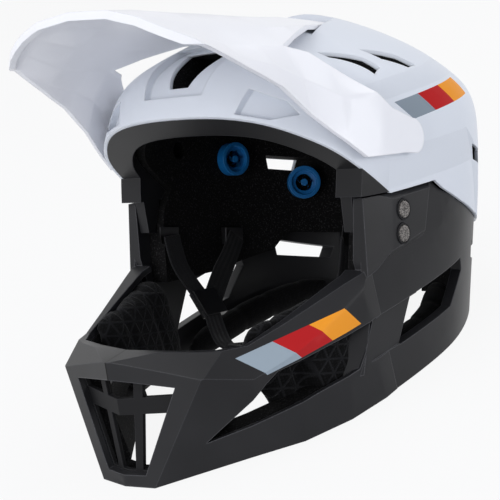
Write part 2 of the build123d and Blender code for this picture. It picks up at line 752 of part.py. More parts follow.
# Chin bar, drawn in the standing frame
def chin_ring(height, inset, tail):
    """The chin bar's plan outline at a height, drawn in by inset."""
    share = height / chin_shoulder_height
    half = []
    for (fx, fy), (sx, sy) in zip(bar_plan(chin_foot_shares), bar_plan(chin_shoulder_shares)):
        half.append((fx + (sx - fx) * share, fy + (sy - fy) * share))
    line = inset_line([(-x, y) for x, y in reversed(half[1:])] + half, inset)
    if tail:
        line = [(line[0][0], line[0][1] + tail), *line, (line[-1][0], line[-1][1] + tail)]
    return (Pos(0, 0, height) * outline(line, 0)).face()


def chin_form(inset, tail, low, high):
    """The chin bar's front part as a solid, from height low to height high."""
    return loft([chin_ring(low, inset, tail), chin_ring(high, inset, tail)], ruled=True)


def carved(block):
    """The block below the chin bar's bevels and its top line."""
    for shares in (front_bevel_shares, side_bevel_shares):
        cutter = block_above(bar_places(shares), 4 * chin_reach)
        block = block - cutter - mirror(cutter, about=Plane.YZ)
    top = bar_side(chin_top_shares)
    points = [(-2 * chin_reach, top[0][1]), *top, (overrun, top[-1][1]), (overrun, 2 * chin_reach),
              (-2 * chin_reach, 2 * chin_reach)]
    return block - side_prism(points, -2 * chin_reach, 2 * chin_reach)


def chin_windows(grow):
    """The two side windows of each side, as cutters."""
    cutters = []
    low = chin_half_width * window_inner_share
    for shares in (front_window_shares, rear_window_shares):
        cutter = side_prism(bar_side(shares), low, 2 * chin_half_width, grow)
        cutters += [cutter, mirror(cutter, about=Plane.YZ)]
    return cutters


def mouth_prism(grow):
    """The mouth opening as a cutter."""
    return front_prism(bar_front(mouth_shares), -2 * chin_reach, -chin_reach / 2, grow)


def behind_join():
    """Everything behind the place where the chin bar's front part meets its arms."""
    size = 4 * chin_reach
    behind = Box(size, size, size, align=(Align.CENTER, Align.MIN, Align.CENTER))
    return Pos(0, -chin_join_reach - chin_wall, 0) * behind


def make_arms():
    """The chin bar's two arms, level frame, flattened round the plates."""
    plate = crown_side(plate_shares)
    hem = [(y, z - body_gap) for y, z in crown_side(hem_line_shares)]
    (y0, z0), (y1, z1) = hem[-2:]
    end_height = z1 + (z0 - z1) * (y1 - arm_end_reach) / (y1 - y0)
    points = [*plate[:3], *hem[1:-1], (arm_end_reach, end_height), (arm_end_reach, -skirt_depth),
              (-back_reach, -skirt_depth), (-back_reach, plate[5][1]), plate[5]]
    arms = egg(arm_inset) & side_prism(points, -2 * shell_half_width, 2 * shell_half_width)
    turn = math.radians(arm_flat_turn)
    flat = Plane(origin=(shell_half_width - arm_inset, arm_flat_reach, 0),
                 z_dir=(math.cos(turn), -math.sin(turn), 0))
    size = 4 * shell_half_width
    beyond = flat * Box(size, size, size, align=(Align.CENTER, Align.CENTER, Align.MIN))
    return arms - [beyond, mirror(beyond, about=Plane.YZ), egg(arm_inner_inset), *neck_ports()]


def make_plates():
    """The two raised ear plates that carry the release buttons, level frame."""
    points = crown_side(plate_shares)
    shoulder = plate_face - plate_bevel
    plate = side_prism(points, plate_root, shoulder) + side_prism(points, shoulder, plate_face, 0, plate_lean)
    return (plate + mirror(plate, about=Plane.YZ)) - egg(arm_inner_inset)


def make_strut_rib():
    """The inward leg of the leaning strut between the two side windows."""
    low, high = [chin_top_height * share for share in strut_height_shares]
    lean = chin_reach * strut_lean_share
    points = bar_plan(strut_rib_shares)
    top = Pos(0, 0, high) * outline(points, 0)
    foot = Pos(0, -lean, low) * outline(points, 0)
    return loft([foot.face(), top.face()], ruled=True)


def button_rod(height, radius, low, high):
    """A cylinder on a button's axis, from x = low to x = high."""
    return across(radius, -button_reach, height, low, high)


def button_heights():
    """The heights of the upper and the lower button."""
    return button_upper_height, button_upper_height - button_spacing


def button_bores():
    """The stepped bores of one plate, for the buttons and their bezels."""
    bores = []
    floor = plate_face + button_proud - button_thickness - button_travel - button_floor_gap
    for height in button_heights():
        bore = button_rod(height, button_radius + button_clearance, floor, plate_face + overrun)
        seat = button_rod(height, button_radius + button_clearance + bezel_width + skin_gap,
                          plate_face + bezel_proud - bezel_height, plate_face + overrun)
        bores += [bore, seat]
    return bores


def make_bezels():
    """The rings round the four release buttons."""
    rings = []
    for height in button_heights():
        low, high = plate_face + bezel_proud - bezel_height + skin_gap, plate_face + bezel_proud
        ring = button_rod(height, button_radius + button_clearance + bezel_width, low, high)
        rings.append((ring - button_rod(height, button_radius + button_clearance, 0, 2 * plate_face)).solid())
    return both_sides(Compound(children=rings))


def make_button(height):
    """One release button: a cap with a chamfered, grooved rim."""
    high = plate_face + button_proud
    cap = button_rod(height, button_radius, high - button_thickness, high)
    cap = chamfer(cap.edges().group_by(Axis.X)[-1], button_proud / 3)
    for groove in range(button_grooves):
        turn = 2 * math.pi * groove / button_grooves
        rod = button_rod(height, button_groove_radius, 0, 2 * plate_face)
        cap = cap - Pos(0, button_radius * math.cos(turn), button_radius * math.sin(turn)) * rod
    return cap


def chin_core(inset):
    """The chin bar's front part drawn in by inset, long at the rear, open below and above."""
    return chin_form(inset, chin_tail, -chin_wall, chin_block_height + chin_wall)


def chin_room(gap):
    """The room inside the chin bar's wall and below its top flange."""
    return Pos(0, 0, -chin_flange_depth - gap) * carved(chin_core(chin_wall + gap))


def make_chin_shell():
    """The chin bar: a thin front part with a top flange, two windowed arms and the ear plates."""
    size = 4 * chin_reach
    ahead = Box(size, size, size, align=(Align.CENTER, Align.MAX, Align.CENTER))
    front = carved(chin_form(0, 0, 0, chin_block_height)) & (Pos(0, -chin_join_reach, 0) * ahead)
    front = front - [chin_room(0), chin_core(chin_flange), chin_core(chin_wall) & behind_join()]
    arms = settled_above(make_arms(), 0) & behind_join()
    rib = make_strut_rib()
    bar = (front + arms + settle(make_plates())) - [*chin_windows(0), mouth_prism(0)]
    bar = bar + [rib, mirror(rib, about=Plane.YZ)]
    strut_face = side_prism(bar_side(strut_face_shares), chin_half_width, 2 * chin_half_width)
    bevel = block_above(bar_places(plate_front_shares), 4 * chin_reach)
    cutters = [strut_face, bevel, settle(rail_block(body_gap, crown_rise))]
    cutters += [settle(bore) for bore in button_bores()]
    for cutter in cutters:
        bar = bar - [cutter, mirror(cutter, about=Plane.YZ)]
    return bar


def make_chin_liner():
    """The foam behind the chin bar's front wall."""
    size = 2 * chin_reach
    foam = chin_room(skin_gap) - chin_core(chin_foam)
    foam = foam & level_box(-size, size, -size, -chin_foam_end, chin_wall, size)
    return foam - [*chin_windows(skin_gap), mouth_prism(mouth_frame + 2 * skin_gap)]


def make_mouth_insert():
    """The framed insert behind the mouth opening, with its two struts and cross bar."""
    depth = chin_wall + skin_gap
    layer = chin_form(depth, 0, 0, chin_block_height) - chin_core(depth + mouth_frame)
    layer = Pos(0, 0, -chin_flange_depth) * layer
    frame = mouth_prism(mouth_frame) - mouth_prism(-mouth_overlap)
    for shares in (mouth_left_strut_shares, mouth_right_strut_shares, mouth_bar_shares):
        frame = frame + (front_prism(bar_front(shares), -2 * chin_reach, -chin_reach / 2) & mouth_prism(0))
    top = Pos(0, 0, -chin_flange_depth - skin_gap) * carved(chin_core(0))
    return layer & frame & top


def make_cheek_pad():
    """The wearer's left pad: a cushion with a crowned face and drawn-in edges."""
    sections = []
    for depth_share, size_share in cheek_section_shares:
        length, height = cheek_length * size_share, cheek_height * size_share
        face = RectangleRounded(length, height, cheek_corner * size_share)
        sections.append((Pos(cheek_thickness * (1 - depth_share), 0, 0) * (Plane.YZ * face)).face())
    pad = loft(sections, ruled=True)
    pad = Pos(cheek_inner_width, -cheek_middle_reach, cheek_middle_height) * Rot(0, 0, -cheek_turn) * pad
    size = 2 * chin_reach
    beside_foam = level_box(-size, size, skin_gap - chin_foam_end, size, 0, size)
    rib = offset(make_strut_rib(), amount=2 * skin_gap)
    return (pad & (chin_core(chin_foam + skin_gap) + (chin_room(skin_gap) & beside_foam))) - rib


def crown_parts():
    """Every level part by its node's name, before it is settled."""
    layer = pad_layer()
    socket, plug = make_buckle()
    strap = strap_set(strap_width, strap_thickness)
    side_pad = layer & plan_prism(crown_plan(side_pad_shares), dome_start, 2 * crown_rise)
    band = make_band()
    other_band = Pos(0, 0, dial_height) * Rot(0, 180, 0) * Pos(0, 0, -dial_height) * band
    return {
        "outer_shell": make_shell(), "brow_rim": make_rim(), "rear_bumper": make_bumper(),
        "brow_pad": layer & front_prism(crown_front(brow_pad_shares), -2 * brow_reach, 0),
        "crown_pad": layer & plan_prism(crown_plan(crown_pad_shares), dome_start, 2 * crown_rise),
        "side_pads": both_sides(side_pad), "turbine_pads": make_turbine_pads(),
        "pivot_bushings": make_bushings(), "latch_rails": make_rails(), "strap_anchors": make_anchors(),
        "left_strap": strap, "right_strap": mirror(strap, about=Plane.YZ), "strap_dividers": make_divider(),
        "buckle_socket": socket, "buckle_plug": plug, "dial_yoke": make_yoke(),
        "visor": make_visor(), "pivot_studs": make_studs(), "fit_dial": make_dial(),
        "drive_pinion": make_pinion(), "left_band": band, "right_band": other_band,
        "button_bezels": make_bezels(), "left_upper_button": make_button(button_heights()[0]),
        "left_lower_button": make_button(button_heights()[1]),
        "right_upper_button": mirror(make_button(button_heights()[0]), about=Plane.YZ),
        "right_lower_button": mirror(make_button(button_heights()[1]), about=Plane.YZ)}


os.makedirs("parts", exist_ok=True)
parts = {name: settle(shape) for name, shape in crown_parts().items()}
parts["impact_liner"] = settled_above(make_liner(), body_gap)
parts["rear_lower_shell"] = settled_above(make_rear_cover(), 0)
pad = make_cheek_pad()
parts["left_cheek_pad"] = pad
parts["right_cheek_pad"] = mirror(pad, about=Plane.YZ)
parts["chin_bar_shell"] = make_chin_shell()
parts["chin_liner"] = make_chin_liner()
parts["mouth_insert"] = make_mouth_insert()
rear_end = max(shape.bounding_box().max.Y for shape in parts.values())
middle = (rear_end - chin_reach) / 2
for name, shape in parts.items():
    export_step(Pos(0, -middle, 0) * shape, "parts/" + name + ".step")
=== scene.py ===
import math

import bmesh
import bpy
from mathutils import Matrix, Vector


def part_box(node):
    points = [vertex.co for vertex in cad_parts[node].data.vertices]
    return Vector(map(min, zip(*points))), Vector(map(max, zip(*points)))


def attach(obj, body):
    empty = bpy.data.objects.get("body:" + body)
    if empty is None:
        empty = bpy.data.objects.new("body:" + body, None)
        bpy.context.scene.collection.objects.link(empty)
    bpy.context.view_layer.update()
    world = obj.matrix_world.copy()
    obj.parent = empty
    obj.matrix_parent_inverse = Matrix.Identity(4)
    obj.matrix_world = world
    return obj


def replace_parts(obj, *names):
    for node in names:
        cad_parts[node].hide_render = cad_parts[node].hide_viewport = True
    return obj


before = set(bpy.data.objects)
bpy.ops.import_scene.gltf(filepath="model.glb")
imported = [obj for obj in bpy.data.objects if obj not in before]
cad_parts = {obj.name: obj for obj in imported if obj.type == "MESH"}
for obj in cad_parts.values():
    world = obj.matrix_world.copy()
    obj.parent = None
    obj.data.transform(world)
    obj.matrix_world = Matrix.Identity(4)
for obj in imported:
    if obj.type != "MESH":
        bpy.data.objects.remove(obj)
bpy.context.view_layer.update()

# The studio
# A pale floor under a white surround, as in a photographer's studio, with four soft lights: above the
# front, before it, beside it and behind. The camera, glosses and glass see floor and surround white.
surround_strength = 0.6
floor_size = 30
floor_white_share = 0.9
helmet_middle = Vector((0, 0, 0.13))


def linear(hex_colour):
    """An sRGB hex colour as the linear values that shaders take."""
    values = []
    for start in (0, 2, 4):
        value = int(hex_colour[start:start + 2], 16) / 255
        values.append(value / 12.92 if value <= 0.04045 else ((value + 0.055) / 1.055) ** 2.4)
    return (*values, 1)


def add_node(tree, kind, inputs=None, **settings):
    """One shader node. An input is named or numbered, and is a value or another node's socket."""
    node = tree.nodes.new("ShaderNode" + kind)
    for name, value in settings.items():
        setattr(node, name, value)
    for name, value in (inputs or {}).items():
        if isinstance(value, bpy.types.NodeSocket):
            tree.links.new(value, node.inputs[name])
        else:
            node.inputs[name].default_value = value
    return node


def seen_directly(tree):
    """1 for what the camera sees, straight, in a gloss or through glass."""
    rays = add_node(tree, "LightPath").outputs
    straight = add_node(tree, "Math", {0: rays["Is Camera Ray"], 1: rays["Is Glossy Ray"]}).outputs[0]
    return add_node(tree, "Math", {0: straight, 1: rays["Is Transmission Ray"]}, use_clamp=True).outputs[0]


world = bpy.data.worlds.new("Studio")
bpy.context.scene.world = world
world.use_nodes = True
surround = world.node_tree
surround_light = surround.nodes["Background"]
surround_light.inputs["Color"].default_value = linear("eef2fb")
surround_light.inputs["Strength"].default_value = surround_strength
surround_white = add_node(surround, "Background", {"Color": linear("ffffff"), "Strength": 1.0})
surround_mix = add_node(surround, "MixShader", {0: seen_directly(surround), 1: surround_light.outputs[0],
                                                2: surround_white.outputs[0]})
surround.links.new(surround_mix.outputs[0], surround.nodes["World Output"].inputs["Surface"])

floor_paint = bpy.data.materials.new("Matt white floor")
floor_paint.use_nodes = True
floor_tree = floor_paint.node_tree
floor_shader = floor_tree.nodes["Principled BSDF"]
floor_shader.inputs["Base Color"].default_value = linear("d4d6da")
floor_shader.inputs["Roughness"].default_value = 0.95
floor_white = add_node(floor_tree, "Emission", {"Color": linear("ffffff"), "Strength": 1.0})
floor_share = add_node(floor_tree, "Math", {0: seen_directly(floor_tree), 1: floor_white_share},
                       operation="MULTIPLY")
floor_mix = add_node(floor_tree, "MixShader", {0: floor_share.outputs[0], 1: floor_shader.outputs[0],
                                               2: floor_white.outputs[0]})
floor_tree.links.new(floor_mix.outputs[0], floor_tree.nodes["Material Output"].inputs["Surface"])
bpy.ops.mesh.primitive_plane_add(size=floor_size)
floor = bpy.context.object
floor.name = "studio_floor"
floor.data.materials.append(floor_paint)


def softbox(name, place, width, height, watts):
    """A rectangular lamp that faces the helmet's middle."""
    light = bpy.data.lights.new(name, "AREA")
    light.shape = "RECTANGLE"
    light.size = width
    light.size_y = height
    light.energy = watts
    lamp = bpy.data.objects.new(name, light)
    lamp.location = place
    lamp.rotation_mode = "QUATERNION"
    lamp.rotation_quaternion = (helmet_middle - Vector(place)).to_track_quat("-Z", "Y")
    bpy.context.collection.objects.link(lamp)


softbox("Key light", place=(-0.3, -1.0, 1.8), width=1.1, height=0.9, watts=10)
softbox("Front light", place=(0.3, -1.7, 0.5), width=0.9, height=0.7, watts=8.5)
softbox("Side light", place=(1.5, 0.5, 0.25), width=0.5, height=0.5, watts=5)
softbox("Back light", place=(0.2, 1.5, 1.5), width=1.2, height=0.6, watts=6)

# The camera
# It stands to the wearer's left in front of the helmet, a little above it, and leans as the
# photograph does.
camera_place = Vector((0.5942, -0.6160, 0.3371))
camera_back = Vector((0.6794, -0.6760, 0.2853))
camera_up = Vector((-0.0059, 0.3838, 0.9235))
camera_data = bpy.data.cameras.new("Camera")
camera_data.lens = 97.2
camera_data.sensor_width = 36
camera = bpy.data.objects.new("Camera", camera_data)
camera_right = camera_up.cross(camera_back).normalized()
camera_turn = Matrix((camera_right, camera_back.cross(camera_right).normalized(), camera_back.normalized()))
camera.matrix_world = Matrix.Translation(camera_place) @ camera_turn.transposed().to_4x4()
bpy.context.collection.objects.link(camera)
bpy.context.scene.camera = camera
bpy.context.scene.view_settings.view_transform = "Standard"

# The crown's shell
# Thin polycarbonate, moulded with the foam inside it and sprayed satin white. Three slanted
# stripes, grey, red and orange, are printed over the paint on each side.
shell_colour = "e1e5ec"
# The shell's edges get a painted highlight in this whiter white, which also tints the faint clouds.
shell_cloud_and_edge_highlight_colour = "f2f4f8"
shell_print_colours = ("8b96a0", "b90d12", "f49a1c")
shell_grain_size = 0.0012
shell_grain_depth = 0.00001
shell_edge_radius = 0.0012
cloud_size = 0.0455
cloud_share = 0.12
# The painted edge highlight begins where an edge's rounding has turned this far from the face, and is full at
# the second turn.
highlight_start_turn = math.radians(5.7)
highlight_full_turn = math.radians(30.7)
merge_distance = 1e-5

# The worn helmet leans by this angle from how it stands on the table, about the ear line.
lean = math.radians(22.2)
ear_line = Vector((0, 0.04067, 0.1032))


def worn_direction(y_part, z_part):
    """A direction given on the worn helmet, as it lies on the standing one."""
    return Vector((0, y_part * math.cos(lean) + z_part * math.sin(lean),
                   z_part * math.cos(lean) - y_part * math.sin(lean)))


def worn_place(x, y, z):
    """A point given in millimetres from the ear line of the worn helmet."""
    return ear_line + Vector((x / 1000, 0, 0)) + worn_direction(y, z) / 1000


def new_material(name, colour, roughness, specular=0.5, coat=0.0, sheen=0.0, metallic=0.0):
    """A material with its uniform values on the shader's own sockets."""
    material = bpy.data.materials.new(name)
    material.use_nodes = True
    shader = material.node_tree.nodes["Principled BSDF"]
    shader.inputs["Base Color"].default_value = linear(colour)
    shader.inputs["Roughness"].default_value = roughness
    shader.inputs["Metallic"].default_value = metallic
    shader.inputs["Specular IOR Level"].default_value = specular
    shader.inputs["Coat Weight"].default_value = coat
    shader.inputs["Coat Roughness"].default_value = 0.15
    shader.inputs["Sheen Weight"].default_value = sheen
    shader.inputs["Sheen Roughness"].default_value = 0.4
    return material


def lay_over(material, share, colour=None, depth=None, strength=1.0):
    """Lays a colour or a relief over what a material has, as far as share, a socket, goes from 0 to 1."""
    tree = material.node_tree
    base = tree.nodes["Principled BSDF"].inputs["Base Color"]
    normal = tree.nodes["Principled BSDF"].inputs["Normal"]
    if colour:
        under = base.links[0].from_socket if base.is_linked else base.default_value[:]
        over = add_node(tree, "MixRGB", {"Fac": share, "Color1": under, "Color2": linear(colour)})
        tree.links.new(over.outputs[0], base)
    if depth:
        relief = add_node(tree, "Bump", {"Height": share, "Distance": depth, "Strength": strength})
        if normal.is_linked:
            tree.links.new(normal.links[0].from_socket, relief.inputs["Normal"])
        tree.links.new(relief.outputs["Normal"], normal)


def moulded(material, cloud_and_edge_highlight_colour, grain_size, grain_depth, edge_radius, facets=None):
    """The skin of a moulding: rounded edges with a painted highlight in the edge colour (a painted shade
    where that colour is darker), broken up by the grain, fine grain and a faintly cloudy tone.

    facets is a socket with the height in metres of moulded facets.
    """
    tree = material.node_tree
    place = add_node(tree, "TexCoord").outputs["Object"]
    grain = add_node(tree, "TexNoise", {"Vector": place, "Scale": 1 / grain_size,
                                         "Detail": 3.0}).outputs["Fac"]
    cloud = add_node(tree, "TexNoise", {"Vector": place, "Scale": 1 / cloud_size,
                                         "Detail": 2.0}).outputs["Fac"]
    rounded = add_node(tree, "Bevel", {"Radius": edge_radius}, samples=8).outputs["Normal"]
    flat = add_node(tree, "NewGeometry").outputs["Normal"]
    facing = add_node(tree, "VectorMath", {0: rounded, 1: flat}, operation="DOT_PRODUCT").outputs["Value"]
    turned = add_node(tree, "MapRange", {"Value": facing, "From Min": math.cos(highlight_start_turn),
                                          "From Max": math.cos(highlight_full_turn)}).outputs[0]
    # The mask of the painted highlight along the edges, broken up by the grain.
    worn = add_node(tree, "Math", {0: turned, 1: grain}, operation="MULTIPLY", use_clamp=True).outputs[0]
    faint = add_node(tree, "Math", {0: cloud, 1: cloud_share}, operation="MULTIPLY").outputs[0]
    lay_over(material, faint, colour=cloud_and_edge_highlight_colour)
    lay_over(material, worn, colour=cloud_and_edge_highlight_colour)
    tree.links.new(rounded, tree.nodes["Principled BSDF"].inputs["Normal"])
    if facets:
        lay_over(material, facets, depth=1.0)
    lay_over(material, grain, depth=grain_depth, strength=0.6)


def distance_along(tree, direction):
    """How far each place lies along a direction, in metres from the helmet's origin."""
    place = add_node(tree, "TexCoord").outputs["Object"]
    return add_node(tree, "VectorMath", {0: place, 1: direction}, operation="DOT_PRODUCT").outputs["Value"]


def band(tree, direction, low, high):
    """1 where a place, measured along a direction, lies between low and high."""
    return add_node(tree, "Math", {0: distance_along(tree, direction), 1: (low + high) / 2,
                                   2: (high - low) / 2}, operation="COMPARE").outputs[0]


def print_stripes(material, colours, along, starts, across, low, high):
    """Prints stripes over a material: one after another along a direction, from low to high across it."""
    tree = material.node_tree
    strip = band(tree, across, low, high)
    for colour, start, end in zip(colours, starts, starts[1:]):
        one = band(tree, along, start, end)
        stripe = add_node(tree, "Math", {0: one, 1: strip}, operation="MULTIPLY").outputs[0]
        lay_over(material, stripe, colour=colour)


def slope_beyond(tree, way, start, width, fall):
    """A height that goes from 0 to fall over width, from start past the ear line along a worn direction."""
    first = way.dot(ear_line) + start
    return add_node(tree, "MapRange", {"Value": distance_along(tree, way), "From Min": first,
                                       "From Max": first + width, "To Max": fall}).outputs[0]


def shell_facets(material):
    """The shell's moulded creases above and below the stripes and down behind the ear, as heights."""
    tree = material.node_tree
    upper = slope_beyond(tree, worn_direction(-0.289, 1), start=0.0656, width=0.012, fall=0.0034)
    lower = slope_beyond(tree, worn_direction(0.24, -1), start=-0.0317, width=0.022, fall=0.0060)
    rear = slope_beyond(tree, worn_direction(1, 0.45), start=0.053, width=0.020, fall=0.0054)
    behind_brow = slope_beyond(tree, worn_direction(1, 0), start=-0.075, width=0.025, fall=1.0)
    side = add_node(tree, "Math", {0: upper, 1: behind_brow}, operation="MULTIPLY").outputs[0]
    corner = add_node(tree, "Math", {0: lower, 1: rear}, operation="MINIMUM").outputs[0]
    fallen = add_node(tree, "Math", {0: corner, 1: lower}, operation="SUBTRACT").outputs[0]
    fallen = add_node(tree, "Math", {0: fallen, 1: behind_brow}, operation="MULTIPLY").outputs[0]
    return add_node(tree, "Math", {0: side, 1: fallen}, operation="ADD").outputs[0]


def own_form(name, body, material, sharp_angle=28, outside=None, rounding=0):
    """A CAD node's own form, merged and shaded smooth between its sharp edges.

    outside is the material of its faces that look away from the middle. rounding bevels the edges.
    """
    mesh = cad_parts[name].data.copy()
    mesh.materials.clear()
    mesh.materials.append(material)
    if outside:
        mesh.materials.append(outside)
    work = bmesh.new()
    work.from_mesh(mesh)
    bmesh.ops.remove_doubles(work, verts=work.verts, dist=merge_distance)
    if rounding:
        bmesh.ops.dissolve_limit(work, angle_limit=math.radians(1), verts=work.verts, edges=work.edges)
    for face in work.faces:
        face.smooth = True
        looks_out = face.normal.x * face.calc_center_median().x > 0
        face.material_index = 1 if outside and looks_out else 0
    for edge in work.edges:
        edge.smooth = len(edge.link_faces) == 2 and edge.calc_face_angle(0) < math.radians(sharp_angle)
    work.to_mesh(mesh)
    work.free()
    piece = bpy.data.objects.new(name + "_form", mesh)
    bpy.context.collection.objects.link(piece)
    if rounding:
        edge_round = piece.modifiers.new("Moulded edges", "BEVEL")
        edge_round.width = rounding
        edge_round.segments = 2
        edge_round.limit_method = "ANGLE"
        edge_round.angle_limit = math.radians(35)
    even = piece.modifiers.new("Even shading", "WEIGHTED_NORMAL")
    even.keep_sharp = True
    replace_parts(piece, name)
    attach(piece, body)
    return piece


# Sprayed paint under a thin clear coat: soft highlights that stay narrow at the creases.
satin_white = new_material("Satin white paint on polycarbonate", shell_colour, 0.32, 0.4, coat=0.2)
moulded(satin_white, shell_cloud_and_edge_highlight_colour, shell_grain_size, shell_grain_depth, shell_edge_radius,
        shell_facets(satin_white))
# The printed skin has hardly any gloss, so the stripes keep their depth of colour.
striped_white = new_material("Printed satin white paint", shell_colour, 0.4, 0.1)
moulded(striped_white, shell_cloud_and_edge_highlight_colour, shell_grain_size, shell_grain_depth, shell_edge_radius,
        shell_facets(striped_white))
# The stripes follow one another along the slant and are cut off across the rise. Their limits are
# metres past the ear line.
stripe_slant = worn_direction(1, 1.78)
stripe_rise = worn_direction(-0.309, 1)
slant_zero = stripe_slant.dot(ear_line)
rise_zero = stripe_rise.dot(ear_line)
print_stripes(striped_white, shell_print_colours, along=stripe_slant,
              starts=[slant_zero + start for start in (0.0465, 0.0815, 0.118, 0.157)],
              across=stripe_rise, low=rise_zero + 0.0491, high=rise_zero + 0.0633)
own_form("outer_shell", "crown", satin_white, outside=striped_white)

# The brow rim
# Satin black nylon round the eye port, with a pillar down each side. It is clipped and glued
# over the edge of the shell and the foam.

# Glass fibre under the skin gives it a fine grain and wide, dull highlights. Its edges get a painted grey
# highlight.
satin_black = new_material("Glass filled nylon, satin black", "131315", 0.44, 0.2)
moulded(satin_black, "4c4c50", grain_size=0.0008, grain_depth=0.00004, edge_radius=0.0009)
# The same nylon from a coarser mould, so dull that only its edges catch light, with a painted grey highlight
# laid on them.
matt_black = new_material("Nylon, matt black", "0f0f11", 0.6, 0.16)
moulded(matt_black, "38383b", grain_size=0.0008, grain_depth=0.00005, edge_radius=0.0008)
own_form("brow_rim", "crown", satin_black)

# The crown's foam
# The thick liner that takes a blow: black expanded polystyrene, moulded under steam against the
# shell. The skins of its beads show as small flecks in the vents.
bead_size = 0.00238
fleck_size = 0.00111
bead_depth = 0.0003
bead_foam = new_material("Expanded polystyrene, black", "080809", 0.8, 0.1)
foam_tree = bead_foam.node_tree
foam_place = add_node(foam_tree, "TexCoord").outputs["Object"]
beads = add_node(foam_tree, "TexVoronoi", {"Vector": foam_place, "Scale": 1 / bead_size}).outputs["Distance"]
fleck_noise = add_node(foam_tree, "TexNoise", {"Vector": foam_place, "Scale": 1 / fleck_size,
                                               "Detail": 2.0}).outputs["Fac"]
flecks = add_node(foam_tree, "MapRange", {"Value": fleck_noise, "From Min": 0.56,
                                          "From Max": 0.68}).outputs[0]
lay_over(bead_foam, flecks, colour="2c2b2c")
lay_over(bead_foam, beads, depth=bead_depth, strength=0.5)
own_form("impact_liner", "crown", bead_foam)

# The rear cover and the rear bumper
# The cover is black nylon over the foam of the neck, clipped to the shell's edge. The bumper behind
# it is a pale, rubber like moulding that the helmet can be set down on.
own_form("rear_lower_shell", "crown", satin_black)
# Rubber scatters light more than the paint beside it, and its edges hardly shine, with a painted shade on
# them, a little darker than the face.
bumper_rubber = new_material("Thermoplastic rubber, pale grey", "d9dce2", 0.45, 0.4)
moulded(bumper_rubber, "c6cad2", grain_size=0.0010, grain_depth=0.00003, edge_radius=0.0015)
own_form("rear_bumper", "crown", bumper_rubber)

# The comfort pads in the crown
# Slow foam in brushed knit, held by hook and loop patches. They are made by stuffing the CAD
# solid with pressure, and the seams are drawn in afterwards.
fuzz_size = 0.00067
stuffing_pressure = 4
stuffing_steps = 20


def knit_fabric(name, colour, thread_colour, stitch_size, depth):
    """Warp knit with a soft, dull nap: rows of stitches, drawn coarse enough to show."""
    fabric = new_material(name, colour, 0.9, 0.1, sheen=0.08)
    tree = fabric.node_tree
    place = add_node(tree, "TexCoord").outputs["Object"]
    cells = add_node(tree, "TexVoronoi", {"Vector": place, "Scale": 1 / stitch_size,
                                          "Randomness": 0.25}).outputs["Distance"]
    fuzz = add_node(tree, "TexNoise", {"Vector": place, "Scale": 1 / fuzz_size, "Detail": 2.0}).outputs["Fac"]
    stitch = add_node(tree, "MapRange", {"Value": cells, "From Min": 0.5, "From Max": 0.1}).outputs[0]
    lay_over(fabric, stitch, colour=thread_colour)
    height = add_node(tree, "Math", {0: cells, 1: fuzz}, operation="ADD").outputs[0]
    lay_over(fabric, height, depth=depth, strength=0.7)
    return fabric


def applied_mesh(piece):
    """A new mesh of a piece with its modifiers applied."""
    return bpy.data.meshes.new_from_object(piece.evaluated_get(bpy.context.evaluated_depsgraph_get()))


def smooth_out(work, factor):
    """Relaxes every corner of a bmesh towards its neighbours."""
    bmesh.ops.smooth_vert(work, verts=work.verts, factor=factor, use_axis_x=True, use_axis_y=True,
                          use_axis_z=True)


def cushion_blank(name, voxel, slimmer):
    """A CAD node's solid, evenly meshed and slimmed to leave room for its stuffing."""
    cushion = bpy.data.objects.new(name + "_cushion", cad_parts[name].data.copy())
    bpy.context.collection.objects.link(cushion)
    work = bmesh.new()
    work.from_mesh(cushion.data)
    bmesh.ops.remove_doubles(work, verts=work.verts, dist=merge_distance)
    work.to_mesh(cushion.data)
    work.free()
    remesh = cushion.modifiers.new("Even mesh", "REMESH")
    remesh.mode = "VOXEL"
    remesh.voxel_size = voxel
    even_mesh = applied_mesh(cushion)
    cushion.modifiers.clear()
    cushion.data = even_mesh
    work = bmesh.new()
    work.from_mesh(even_mesh)
    for vertex in work.verts:
        vertex.co -= vertex.normal * slimmer
    smooth_out(work, factor=0.5)
    work.to_mesh(even_mesh)
    work.free()
    return cushion


def swell(cushion, cap):
    """Blows a cushion up by cloth pressure, and moves no place by more than cap."""
    before = [vertex.co.copy() for vertex in cushion.data.vertices]
    cloth = cushion.modifiers.new("Stuffing", "CLOTH")
    cloth.settings.use_pressure = True
    cloth.settings.uniform_pressure_force = stuffing_pressure
    cloth.settings.effector_weights.gravity = 0
    cloth.point_cache.frame_start = 1
    cloth.point_cache.frame_end = stuffing_steps
    for step in range(1, stuffing_steps + 1):
        bpy.context.scene.frame_set(step)
    swollen = applied_mesh(cushion)
    cushion.modifiers.clear()
    for vertex, old, new in zip(cushion.data.vertices, before, swollen.vertices):
        move = new.co - old
        vertex.co = old + move * min(1, cap / max(move.length, 1e-9))
    bpy.context.scene.frame_set(1)


def stuffed(name, body, fabric, voxel, slimmer, cap, seams):
    """A padded piece in the place of its CAD solid, stuffed and then drawn in along its seams.

    A seam is a point, a direction across it, its half width and its depth.
    """
    cushion = cushion_blank(name, voxel, slimmer)
    swell(cushion, cap)
    mesh = cushion.data
    work = bmesh.new()
    work.from_mesh(mesh)
    smooth_out(work, factor=0.4)
    bmesh.ops.subdivide_edges(work, edges=work.edges, cuts=1, use_grid_fill=True, smooth=0.6)
    for vertex in work.verts:
        for middle, across, half_width, depth in seams:
            off = abs((vertex.co - middle).dot(across)) / half_width
            if off < 1:
                vertex.co -= vertex.normal * depth * (1 - off * off)
    for face in work.faces:
        face.smooth = True
    work.to_mesh(mesh)
    work.free()
    mesh.materials.clear()
    mesh.materials.append(fabric)
    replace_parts(cushion, name)
    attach(cushion, body)


pad_knit = knit_fabric("Brushed warp knit, black", "0a0a0b", "19191b", stitch_size=0.0016, depth=0.0004)
seam_half_width = 0.003
seam_depth = 0.0012
brow_seam_offset = 0.024
across_brow = Vector((1, 0, 0))
brow_seams = [(side * brow_seam_offset * across_brow, across_brow, seam_half_width, seam_depth)
              for side in (-1, 1)]
